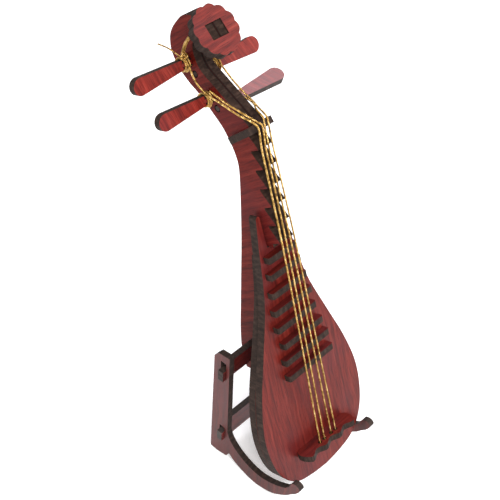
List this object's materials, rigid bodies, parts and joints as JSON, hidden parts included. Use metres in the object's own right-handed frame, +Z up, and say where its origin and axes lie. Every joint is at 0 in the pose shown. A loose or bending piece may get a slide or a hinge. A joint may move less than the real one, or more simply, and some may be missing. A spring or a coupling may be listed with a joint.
{
  "type": "pipa",
  "caption": "Miniature pipa lute cut from thin boards, with strings, frets, scalloped head disc and turning pegs, leaning on a hooked two-legged stand.",
  "frame": {"origin": "centre of the bounding box's footprint, on the surface the stand rests on", "axes": "+Z up, X across the instrument, -Y towards the front, so the soundboard faces -Y and leans back"},
  "size_m": [0.0496, 0.0869, 0.1551],
  "materials": {
    "rosewood_face": "satin, red-brown straight grain",
    "cut_edge": "matt, burnt brown laser-cut edge",
    "gold_cord": "shiny twisted metallic thread"
  },
  "bodies": {
    "stand": {"side_frame_left": "rosewood_face", "side_frame_right": "rosewood_face", "crossbar_upper": "cut_edge", "crossbar_lower": "cut_edge"},
    "instrument": {"spine_left": "rosewood_face", "spine_right": "rosewood_face", "soundboard_front": "rosewood_face", "bridge": "rosewood_face", "head_disc": "rosewood_face", "soundboard_back": "cut_edge", "nut": "cut_edge", "fret_1": "cut_edge", "fret_2": "cut_edge", "fret_3": "cut_edge", "fret_4": "cut_edge", "fret_5": "cut_edge", "fret_6": "cut_edge", "fret_7": "cut_edge", "fret_8": "cut_edge", "string_1": "gold_cord", "string_2": "gold_cord", "string_3": "gold_cord", "string_4": "gold_cord", "string_tail_left_thick": "gold_cord", "string_tail_left_thin": "gold_cord", "string_tail_right": "gold_cord"},
    "peg_left_upper_body": {"peg_left_upper": "rosewood_face", "peg_left_upper_windings": "gold_cord"},
    "peg_right_upper_body": {"peg_right_upper": "rosewood_face", "peg_right_upper_windings": "gold_cord"},
    "peg_left_lower_body": {"peg_left_lower": "rosewood_face", "peg_left_lower_windings": "gold_cord"},
    "peg_right_lower_body": {"peg_right_lower": "rosewood_face", "peg_right_lower_windings": "gold_cord"}
  },
  "joints": [
    {"name": "lift_off", "type": "slide", "parent": "stand", "child": "instrument", "axis": [0, 0, 1], "range_m": [0, 0.06]},
    {"name": "peg_left_upper_turn", "type": "hinge", "parent": "instrument", "child": "peg_left_upper_body", "pos_m": [0, 0.03562, 0.13684], "axis": [1, 0, 0], "range_deg": [-180, 180]},
    {"name": "peg_right_upper_turn", "type": "hinge", "parent": "instrument", "child": "peg_right_upper_body", "pos_m": [0, 0.03246, 0.13399], "axis": [1, 0, 0], "range_deg": [-180, 180]},
    {"name": "peg_left_lower_turn", "type": "hinge", "parent": "instrument", "child": "peg_left_lower_body", "pos_m": [0, 0.02577, 0.12989], "axis": [1, 0, 0], "range_deg": [-180, 180]},
    {"name": "peg_right_lower_turn", "type": "hinge", "parent": "instrument", "child": "peg_right_lower_body", "pos_m": [0, 0.02269, 0.12722], "axis": [1, 0, 0], "range_deg": [-180, 180]}
  ]
}
